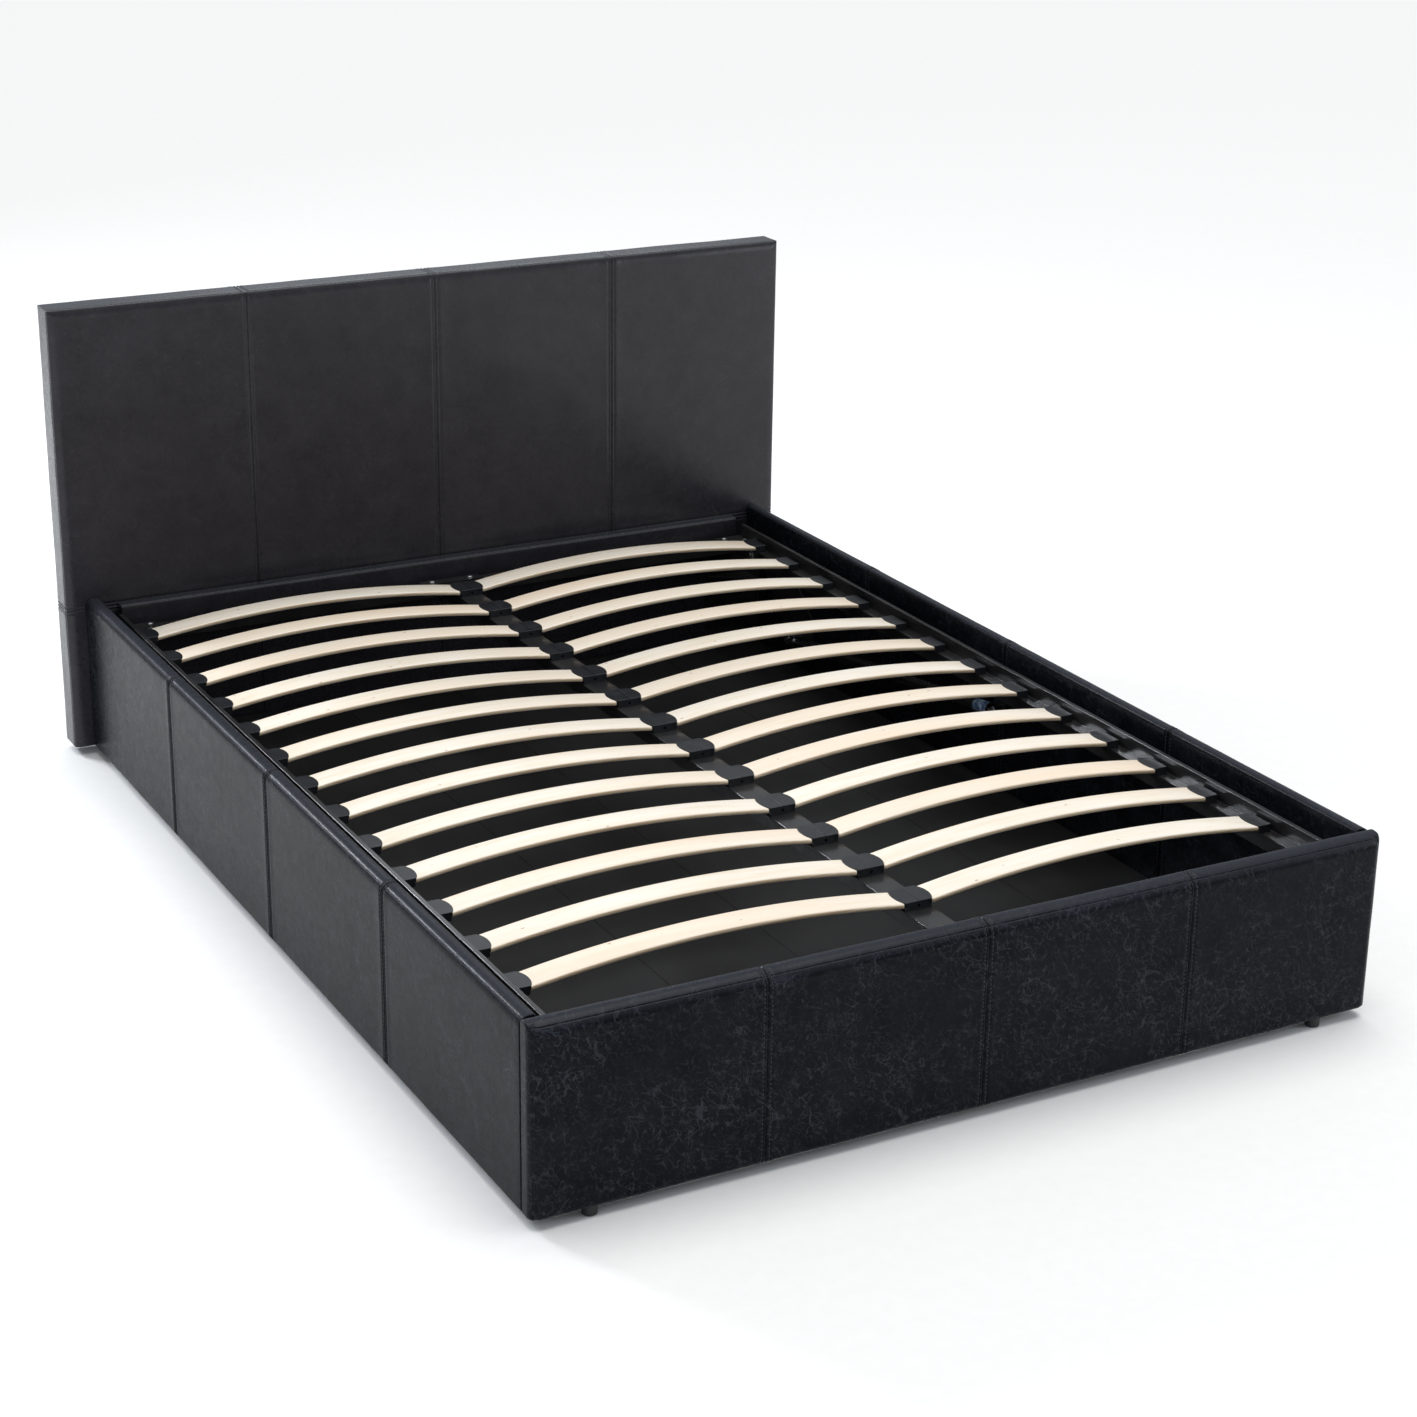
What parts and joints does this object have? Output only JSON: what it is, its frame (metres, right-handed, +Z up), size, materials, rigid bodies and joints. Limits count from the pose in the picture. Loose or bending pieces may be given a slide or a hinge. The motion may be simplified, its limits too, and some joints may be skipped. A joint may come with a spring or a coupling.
{
  "type": "ottoman storage bed",
  "caption": "Double ottoman bed with flat leather-covered headboard, low footboard and side rails, and a sprung-slat platform that lifts on gas struts over a storage box.",
  "frame": {"origin": "on the floor under the middle of the bed's outline, headboard and footboard included", "axes": "+Z up, +Y towards the headboard, +X to the right-hand side of a person who stands at the foot and faces the headboard"},
  "size_m": [1.494, 2.005, 0.849],
  "materials": {
    "leather": "semi-gloss crackle grain",
    "foam": "open cell",
    "board": "raw particle board",
    "birch": "clear lacquered birch",
    "holder_plastic": "satin moulded",
    "strut_black": "gloss black",
    "rod_chrome": "polished",
    "band_blue": "satin",
    "floor_black": "black laminated board",
    "batten": "planed softwood",
    "glide_plastic": "matte",
    "rubber": "matte",
    "nylon": "matte",
    "zinc": "zinc plated",
    "steel_black": "gloss black powder coat"
  },
  "bodies": {
    "bed_frame": {"corner_brackets": "steel_black", "floor_centre_beam": "batten", "floor_cross_beams": "batten", "floor_ledges": "batten", "floor_panels": "floor_black", "foot_glides": "glide_plastic", "footboard_board": "board", "footboard_foam": "foam", "footboard_leather": "leather", "frame_bolts": "zinc", "head_strip_board": "board", "head_strip_leather": "leather", "headboard_board": "board", "headboard_foam": "foam", "headboard_leather": "leather", "hinge_pins": "zinc", "hinge_plate_left": "steel_black", "hinge_plate_right": "steel_black", "rest_brackets": "steel_black", "rest_pads": "rubber", "side_rail_board_left": "board", "side_rail_board_right": "board", "side_rail_foam_left": "foam", "side_rail_foam_right": "foam", "side_rail_leather_left": "leather", "side_rail_leather_right": "leather", "strut_base_studs": "zinc"},
    "platform": {"hinge_bushes": "nylon", "holder_rivets": "zinc", "platform_bolts": "zinc", "platform_centre_tube": "steel_black", "platform_foot_tubes": "steel_black", "platform_head_tubes": "steel_black", "platform_plates": "steel_black", "platform_side_left": "steel_black", "platform_side_right": "steel_black", "slat_centre_holders": "holder_plastic", "slat_end_holders_left": "holder_plastic", "slat_end_holders_right": "holder_plastic", "slat_pair_01": "birch", "slat_pair_02": "birch", "slat_pair_03": "birch", "slat_pair_04": "birch", "slat_pair_05": "birch", "slat_pair_06": "birch", "slat_pair_07": "birch", "slat_pair_08": "birch", "slat_pair_09": "birch", "slat_pair_10": "birch", "slat_pair_11": "birch", "slat_pair_12": "birch", "slat_pair_13": "birch", "strut_lugs": "steel_black", "strut_top_pins": "zinc"},
    "strut_left": {"gas_cylinder_left": "strut_black", "strut_band_left": "band_blue"},
    "rod_left": {"piston_rod_left": "rod_chrome"},
    "strut_right": {"gas_cylinder_right": "strut_black", "strut_band_right": "band_blue"},
    "rod_right": {"piston_rod_right": "rod_chrome"}
  },
  "joints": [
    {"name": "platform_lift", "type": "hinge", "parent": "bed_frame", "child": "platform", "pos_m": [0, 0.825, 0.2405], "axis": [-1, 0, 0], "range_deg": [0, 45]},
    {"name": "strut_left_swing", "type": "hinge", "parent": "platform", "child": "strut_left", "pos_m": [-0.652, -0.0415, 0.191], "axis": [-1, 0, 0], "range_deg": [0, 1.91]},
    {"name": "strut_left_extend", "type": "slide", "parent": "strut_left", "child": "rod_left", "axis": [0, 0.9917, -0.1284], "range_m": [0, 0.1454]},
    {"name": "strut_right_swing", "type": "hinge", "parent": "platform", "child": "strut_right", "pos_m": [0.652, -0.0415, 0.191], "axis": [-1, 0, 0], "range_deg": [0, 1.91]},
    {"name": "strut_right_extend", "type": "slide", "parent": "strut_right", "child": "rod_right", "axis": [0, 0.9917, -0.1284], "range_m": [0, 0.1454]}
  ],
  "couplings": [
    {"joint": "strut_left_swing", "follows": "platform_lift", "ratio": 0.039221},
    {"joint": "strut_left_extend", "follows": "platform_lift", "m_per_rad": 0.18416},
    {"joint": "strut_right_swing", "follows": "platform_lift", "ratio": 0.039221},
    {"joint": "strut_right_extend", "follows": "platform_lift", "m_per_rad": 0.18416}
  ]
}
